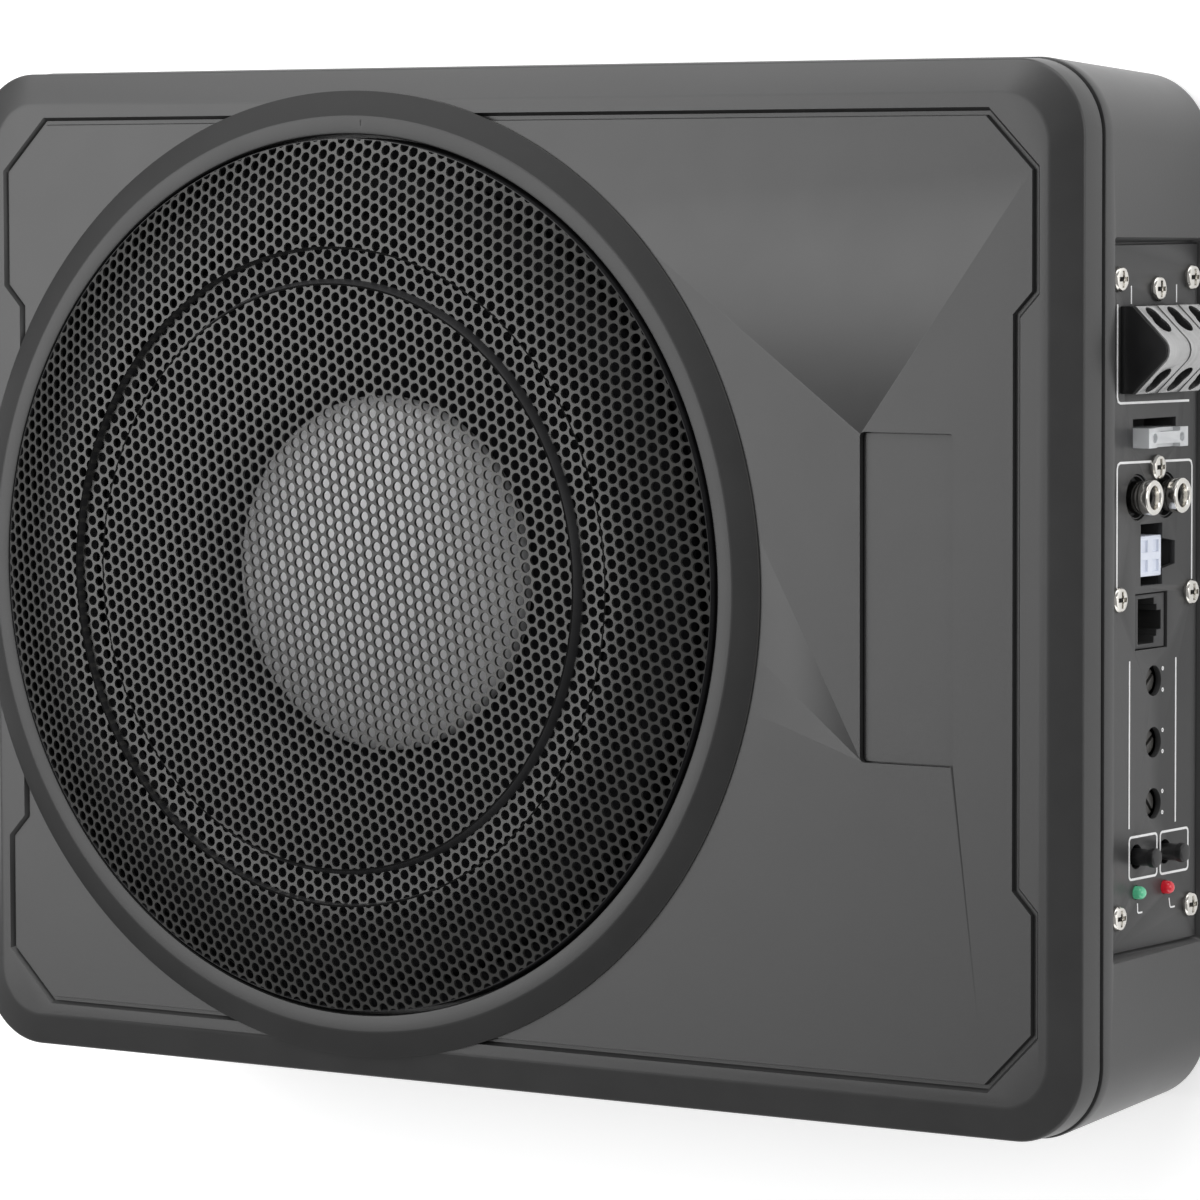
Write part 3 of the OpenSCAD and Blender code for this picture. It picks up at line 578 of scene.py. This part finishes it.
def rear_housing():
    seam, back = HOUSE_HI.z, HOUSE_LO.z
    outer = housing_loops(0, back, seam - CHAMFER)
    # the chamfer takes about 0.15 mm off each side
    top = [Vector((p.x * (1 - 0.0009), p.y * (1 - 0.0012), seam)) for p in outer[-1]]
    shell = new_piece("rear_housing_shell", *loft(outer + [top]), "housing_black")
    cut(shell, *loft(housing_loops(WALL, back + WALL, seam + 5 * MM)))
    # the land behind the panel, and the pocket in front of it, whose walls open outwards
    inner_x = PANEL_LO.x
    land = box_skin((inner_x - 2.6 * MM, -84.6 * MM, PANEL_LO.z - 2.4 * MM),
                    (inner_x + 1.6 * MM, 84.6 * MM, PANEL_HI.z + 2.6 * MM))
    combine(shell, cutter(*land), "UNION")
    low, high = PANEL_LO.z - 0.6 * MM, PANEL_HI.z + 0.6 * MM
    pocket = []
    for x, half_y, down, up in ((inner_x, 82.6, 0, 0), (HALF_X + 1 * MM, 84.2, 1, 3.9)):
        flat = rounded_rect(half_y * MM, (high - low + (down + up) * MM) / 2, 0.8 * MM, 0, SMALL_STEPS)
        middle = (high + low + (up - down) * MM) / 2
        pocket.append([Vector((x, p.x, middle + p.y)) for p in flat])
    cut(shell, *loft(pocket))
    # the window for what stands behind the panel
    cut(shell, *box_skin((inner_x - 20 * MM, -79.5 * MM, PANEL_Z - 14.7 * MM),
                         (inner_x + 20 * MM, 79.5 * MM, PANEL_Z + 14.7 * MM), 1 * MM))
    finish_mesh(shell, "housing_black")
    bevelled(shell, 0.3 * MM, 40)
    # painted light: the pocket's end walls get a lighter copy of the housing's black, against the shade they
    # fall in
    shell.data.materials.append(MATS["pocket_end_painted_light"])
    for poly in shell.data.polygons:
        if 80 * MM < abs(poly.center.y) < 86 * MM and inner_x < poly.center.x and abs(poly.normal.y) > 0.7:
            poly.material_index = 1
    replace_with(shell, "enclosure", "rear_housing")


def grille_ring():
    z0, z1 = RING_LO.z, RING_HI.z
    # foot, slope, flat top and inner edge
    profile = [(RING_IN + 0.2 * MM, z0), (RING_R, z0), (RING_R, z0 + 0.55 * MM),
               (RING_R - 0.12 * MM, z0 + 0.66 * MM), (RING_R - 6.1 * MM, z1 - 0.12 * MM),
               (RING_R - 6.4 * MM, z1 - 0.02 * MM), (RING_R - 6.75 * MM, z1),
               (RING_IN + 0.7 * MM, z1), (RING_IN + 0.25 * MM, z1 - 0.12 * MM),
               (RING_IN, z1 - 0.5 * MM), (RING_IN, z0)]
    ring = new_piece("grille_ring_turned", *revolve(profile, 288), "ring_black")
    # a small moulded tick on the flat top
    cut(ring, *box_skin((HUB.x + 4.4 * MM, 110.8 * MM, z1 - 0.12 * MM),
                        (HUB.x + 4.9 * MM, 112.4 * MM, z1 + 1 * MM)))
    shade(ring, 30)
    ring.data.materials.append(MATS["ring_slope"])
    ring.data.materials.append(MATS["ring_foot_painted_highlight"])
    for poly in ring.data.polygons:
        out = math.hypot(poly.center.x - HUB.x, poly.center.y)
        if RING_R - 6.2 * MM < out and 0.2 < poly.normal.z < 0.99:
            poly.material_index = 1
        # the faces of the foot get the painted highlight
        elif out > RING_R - 0.1 * MM and poly.center.z > z0 + 0.05 * MM:
            poly.material_index = 2
    replace_with(ring, "enclosure", "grille_ring")


# ---------------------------------------------------------------- grille
HOLE_PITCH = 3.1 * MM
HOLE_R = 1.27 * MM
HOLE_TURN = math.radians(7.4)
SHEET_T = 0.8 * MM
EDGE_W = 0.45 * MM  # width of the painted shadow line on both sides of the channel
LEAN_IN = 1.1 * MM  # how far the channel's walls slope in
LEAN_OUT = 0.3 * MM
CHANNEL_IN = 72.4 * MM
CHANNEL_OUT = 81 * MM
CHANNEL_D = 1.7 * MM
CHANNEL_CELLS = 164  # bars round the channel's outer wall
CHANNEL_Z = FRONT_Z + 8.8 * MM
RIM_Z = FRONT_Z + 3.2 * MM
CROWN_Z = GRILLE_HI.z
SKIRT_R = GRILLE_R - 0.5 * MM
SEARCH_CELL = 4 * MM  # wider than a hole


def dome_z(r):
    """Height of the grille at radius r, without the channel."""
    if r > CHANNEL_OUT:
        t = (r - CHANNEL_OUT) / (GRILLE_R - CHANNEL_OUT)
        return RIM_Z + (CHANNEL_Z - RIM_Z) * (1 - min(1, t) ** 1.7)
    return CHANNEL_Z + (CROWN_Z - CHANNEL_Z) * (1 - (r / CHANNEL_OUT) ** 2)


def sheet_z(r):
    """Height of the pressed sheet: the dome, and the channel's floor."""
    if CHANNEL_IN < r < CHANNEL_OUT:
        return CHANNEL_Z - CHANNEL_D
    return dome_z(r)


def hole_centres(r_in, r_out):
    """Staggered columns at a small angle to Y, cut off where the zone ends."""
    dx = HOLE_PITCH * math.sqrt(3) / 2
    cos, sin = math.cos(HOLE_TURN), math.sin(HOLE_TURN)
    count = int(GRILLE_R / dx) + 2
    for i in range(-count, count + 1):
        shift = HOLE_PITCH / 2 if i % 2 else 0
        for j in range(-count, count + 1):
            across, along = i * dx, j * HOLE_PITCH + shift
            x, y = across * cos - along * sin, across * sin + along * cos
            if r_in - HOLE_R < math.hypot(x, y) < r_out + HOLE_R:
                yield x, y


def perforated(r_in, r_out, sides):
    """Flat triangles of one ring-shaped zone of the sheet, with its holes left out."""
    loops = [circle_points(r_out, 360)]
    if r_in > 0:
        loops.append(circle_points(r_in, 360))
    centres = list(hole_centres(r_in, r_out))
    hole = circle_points(HOLE_R, sides, 0.1)
    coords, edges = [], []
    for loop in loops + [[(cx + x, cy + y) for x, y in hole] for cx, cy in centres]:
        start = len(coords)
        coords += loop
        edges += [(start + k, start + (k + 1) % len(loop)) for k in range(len(loop))]
    verts, _, faces, _, _, _ = delaunay_2d_cdt([Vector(c) for c in coords], edges, [], 0, 1e-7)

    def cell(x, y):
        return round(x / SEARCH_CELL), round(y / SEARCH_CELL)

    cells = {}
    for centre in centres:
        cells.setdefault(cell(*centre), []).append(centre)

    def in_hole(x, y):
        i, j = cell(x, y)
        return any(math.hypot(x - cx, y - cy) < HOLE_R * 0.97
                   for a in (i - 1, i, i + 1) for b in (j - 1, j, j + 1) for cx, cy in cells.get((a, b), ()))

    kept = []
    for face in faces:
        x = sum(verts[v].x for v in face) / len(face)
        y = sum(verts[v].y for v in face) / len(face)
        if r_in < math.hypot(x, y) < r_out and not in_hole(x, y):
            kept.append(list(face))
    return [(v.x, v.y) for v in verts], kept


def thick_sheet(name, flat, faces):
    """Lifts flat triangles to the dome and gives them thickness, with walls round every edge."""
    used = sorted({v for f in faces for v in f})
    index = {v: k for k, v in enumerate(used)}
    n = len(used)
    top = [(HUB.x + flat[v][0], flat[v][1], sheet_z(math.hypot(*flat[v]))) for v in used]
    low = [(x, y, z - SHEET_T) for x, y, z in top]
    tops = [tuple(index[v] for v in f) for f in faces]
    border = {}
    for f in tops:
        for k in range(len(f)):
            edge = (f[k], f[(k + 1) % len(f)])
            if edge[::-1] in border:
                del border[edge[::-1]]
            else:
                border[edge] = True
    under = [tuple(n + v for v in reversed(f)) for f in tops]
    walls = [(b, a, n + a, n + b) for a, b in border]
    return new_piece(name, top + low, tops + under + walls, "grille_steel")


def plain_parts():
    """Sections of the grille's parts without holes: its flange, and the channel's edges and walls."""
    rim = dome_z(SKIRT_R)
    hem = FRONT_Z - 2.5 * MM
    parts = {"grille_flange": [(SKIRT_R - 0.1 * MM, rim), (SKIRT_R + 0.05 * MM, rim - 0.05 * MM),
                               (SKIRT_R + 0.2 * MM, hem), (SKIRT_R - 0.3 * MM, hem),
                               (SKIRT_R - 0.5 * MM, rim - 0.6 * MM)]}
    floor = CHANNEL_Z - CHANNEL_D
    for side, r_top, way, lean in (("inner", CHANNEL_IN, 1, LEAN_IN), ("outer", CHANNEL_OUT, -1, LEAN_OUT)):
        z = dome_z(r_top)
        foot = r_top + way * lean
        edge = r_top - way * EDGE_W
        lip = r_top - way * 0.02 * MM
        parts["channel_edge_" + side] = [(edge, dome_z(edge)), (lip, z), (lip, z - SHEET_T),
                                         (edge, dome_z(edge) - SHEET_T)]
        parts["channel_wall_" + side] = [(r_top, z - 0.04 * MM), (foot, floor), (foot, floor - SHEET_T),
                                         (r_top - way * 0.1 * MM, z - SHEET_T - 0.04 * MM)]
    return parts


def grille():
    sides = 12
    zones = {
        "grille_crown": (0, CHANNEL_IN - EDGE_W),
        "grille_channel": (CHANNEL_IN + LEAN_IN, CHANNEL_OUT - LEAN_OUT),
        "grille_skirt": (CHANNEL_OUT + EDGE_W, SKIRT_R),
    }
    pieces = []
    for name, (r_in, r_out) in zones.items():
        piece = thick_sheet(name, *perforated(r_in, r_out, sides))
        shade(piece, 30)
        pieces.append(piece)
    # the flange and channel walls get painted shade, and the channel's edge strips a painted shadow line
    for name, profile in plain_parts().items():
        mat = "grille_line" if "edge" in name else "grille_shade"
        wall = new_piece(name, *revolve(profile, 3 * CHANNEL_CELLS), mat)
        shade(wall, 50)
        if name == "channel_wall_outer":
            # the bars between the holes that fall on this wall
            wall.data.materials.append(MATS["grille_steel"])
            for poly in wall.data.polygons:
                turn = math.atan2(poly.center.y, poly.center.x - HUB.x) / (2 * math.pi) % 1
                poly.material_index = int(int(turn * 3 * CHANNEL_CELLS) % 3 == 0)
        pieces.append(wall)
    for piece in pieces:
        replace_with(piece, "enclosure", "grille")


# ---------------------------------------------------------------- printed marks on the panel
def print_strip(name, path, width=0.55 * MM, closed=False):
    """A thin raised line on the panel through (y, z) points."""
    sunk, proud = FACE_X - 0.02 * MM, FACE_X + 0.05 * MM
    verts, faces = [], []
    n = len(path)
    for i in range(n):
        before = Vector(path[i - 1] if i or closed else path[0])
        after = Vector(path[(i + 1) % n] if i < n - 1 or closed else path[-1])
        here = Vector(path[i])
        d1 = (here - before).normalized() if (here - before).length > 1e-9 else (after - here).normalized()
        d2 = (after - here).normalized() if (after - here).length > 1e-9 else d1
        n1, n2 = Vector((-d1.y, d1.x)), Vector((-d2.y, d2.x))
        side = (n1 + n2).normalized()
        half = width / 2 / max(0.35, side.dot(n1))
        for s in (-1, 1):
            for x in (sunk, proud):
                verts.append((x, here.x + side.x * half * s, here.y + side.y * half * s))
    for i in range(n if closed else n - 1):
        a, b = i * 4, ((i + 1) % n) * 4
        faces += [(a + 1, b + 1, b + 3, a + 3), (a, a + 2, b + 2, b),
                  (a, b, b + 1, a + 1), (a + 2, a + 3, b + 3, b + 2)]
    if not closed:
        end = (n - 1) * 4
        faces += [(0, 1, 3, 2), (end, end + 2, end + 3, end + 1)]
    piece = new_piece(name, verts, faces, "print_white")
    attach(piece, "enclosure")


def arc(cy, cz, r, start, stop, steps=6):
    return [(cy + r * math.cos(math.radians(start + (stop - start) * k / steps)),
             cz + r * math.sin(math.radians(start + (stop - start) * k / steps))) for k in range(steps + 1)]


def on_panel(points):
    return [(y * MM, PANEL_Z + z * MM) for y, z in points]


def printed_marks():
    """Frames, brackets and pointers, in mm along Y and over the panel's centre line."""
    paths = {
        "power_bracket": ([(68.4, 17.6), (47.0, 17.6), (45.9, 17.2), (45.5, 16.2), (45.2, -16.6)], 0.55),
        "terminal_tick_0": ([(72.6, 11.2), (68.4, 11.2)], 0.45),
        "terminal_tick_1": ([(72.6, -10.3), (68.4, -10.3)], 0.45),
        "input_bracket": ([(2.9, 17.6), (30.3, 17.6), (31.3, 17.2), (31.7, 16.2), (31.2, -16.8),
                           (30.8, -17.7), (29.8, -18.1), (3.0, -18.1)], 0.55),
        "control_line_0": ([(-14.6, 11.5), (-53.8, 11.5)], 0.55),
        "control_line_1": ([(-15.1, -10.6), (-54.0, -10.6)], 0.55),
        "lamp_bracket_0": ([(-71.6, 7.4), (-73.6, 7.3), (-73.9, 6.9), (-73.9, 5.1)], 0.4),
        "lamp_bracket_1": ([(-71.8, -7.7), (-73.8, -8.2), (-74.1, -8.6), (-74.1, -10.5)], 0.4),
    }
    for name, (path, width) in paths.items():
        print_strip(name, on_panel(path), width * MM)
    left, right, r = -65.8, -55.9, 1.0
    for k, (low, high) in enumerate(((-1.8, 11.4), (-16.8, -3.4))):
        corners = ((right - r, high - r, 90), (right - r, low + r, 0),
                   (left + r, low + r, -90), (left + r, high - r, -180))
        path = [p for y, z, turn in corners for p in arc(y, z, r, turn, turn - 90)]
        print_strip(f"switch_frame_{k}", on_panel(path), closed=True)
    for k, y in enumerate((-19.9, -34.4, -48.8)):
        for j, dy in enumerate((2.6, -2.4)):
            dot = on_panel(arc(y + dy, -4.3, 0.36, 0, 315, 7))
            print_strip(f"dial_dot_{k}_{j}", dot, 0.3 * MM, closed=True)


# ---------------------------------------------------------------- CAD nodes that keep their shape
# node, material, width of the rounded edges in mm, body
SOFT_NODES = (
    ("end_panel", "panel_paint", 0.18, "enclosure"),
    ("panel_screws", "nickel", 0.16, "enclosure"),
    ("jack_screws", "nickel", 0.16, "enclosure"),
    ("rca_jack_front", "nickel", 0.12, "enclosure"),
    ("rca_jack_rear", "nickel", 0.12, "enclosure"),
    ("terminal_block", "black_plastic", 0.2, "enclosure"),
    ("rca_insulators", "black_plastic", 0.12, "enclosure"),
    ("fuse_socket", "socket_black_and_painted_shade", 0.12, "enclosure"),
    ("header_frame", "socket_black_and_painted_shade", 0.12, "enclosure"),
    ("terminal_plates", "terminal_steel", 0.15, "enclosure"),
    ("fuse", "fuse_clear", 0.25, "enclosure"),
    ("header", "white_plastic", 0.2, "enclosure"),
    ("remote_jack", "jack_plastic", 0.2, "enclosure"),
    ("gain_shaft", "shaft_plastic", 0.15, "gain_knob"),
    ("boost_shaft", "shaft_plastic", 0.15, "boost_knob"),
    ("low_pass_shaft", "shaft_plastic", 0.15, "low_pass_knob"),
    ("phase_button", "black_plastic", 0.15, "phase_key"),
    ("auto_button", "black_plastic", 0.15, "auto_key"),
    ("power_led", "led_green", 0.04, "enclosure"),
    ("protect_led", "led_red", 0.04, "enclosure"),
)


def soften_nodes():
    for node, mat, width, body in SOFT_NODES:
        soften(node, mat, width * MM, body)
    # painted shade: the inside of the remote socket gets a darker material than its rim
    jack = bpy.data.objects["remote_jack_soft"].data
    jack.materials.append(MATS["socket_black_and_painted_shade"])
    for poly in jack.polygons:
        if poly.center.x < FACE_X - 1 * MM:
            poly.material_index = 1


def smooth_dust_cap():
    """A copy of the dust cap with its normals worked out afresh, in place of the node."""
    piece = copy_node("dust_cap", "_smooth", "cap_metal")
    bm = bmesh.new()
    bm.from_mesh(piece.data)
    bmesh.ops.remove_doubles(bm, verts=bm.verts, dist=2e-5)
    bm.to_mesh(piece.data)
    bm.free()
    if "custom_normal" in piece.data.attributes:
        piece.data.attributes.remove(piece.data.attributes["custom_normal"])
    finish_mesh(piece, "cap_metal")
    shade(piece, 35)
    replace_with(piece, "cone_assembly", "dust_cap")


def dress_nodes():
    """Gives every CAD node that stays in view its procedural material."""
    for node, slot in SLOTS.items():
        thing = bpy.data.objects[node]
        if not thing.material_slots:
            thing.data.materials.append(MATS[slot])
        for material_slot in thing.material_slots:
            material_slot.material = MATS[slot]


# ---------------------------------------------------------------- parts that bend with the cone
def weigh_by_radius(piece, held_mm, moved_mm):
    """Spreads the bend over the radius: nothing moves at held_mm, all of it at moved_mm."""
    weights = piece.data.attributes["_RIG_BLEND"].data
    for vert, weight in zip(piece.data.vertices, weights):
        r = math.hypot(vert.co.x - HUB.x, vert.co.y - HUB.y)
        t = min(1, max(0, (held_mm * MM - r) / ((held_mm - moved_mm) * MM)))
        weight.value = t * t * (3 - 2 * t)


def bend_driver_parts():
    """The surround, spider and tinsel leads bend between the enclosure and the cone."""
    for node, mat, radii in (("surround", "rubber", (102, 88)), ("spider", "spider_cloth", (60, 27)),
                             ("tinsel_leads", "copper", (70, 46))):
        piece = copy_node(node, "_bending", mat)
        shade(piece, 40)
        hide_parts(node)
        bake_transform(piece, "enclosure", "cone_assembly",
                 start=(HUB.x + 0.101, 0, 0.07), end=(HUB.x + 0.089, 0, 0.07))
        weigh_by_radius(piece, *radii)


# ---------------------------------------------------------------- the scene
add_camera()
dress_nodes()
front_cover()
rear_housing()
grille_ring()
grille()
soften_nodes()
smooth_dust_cap()
printed_marks()
bend_driver_parts()
add_stage()
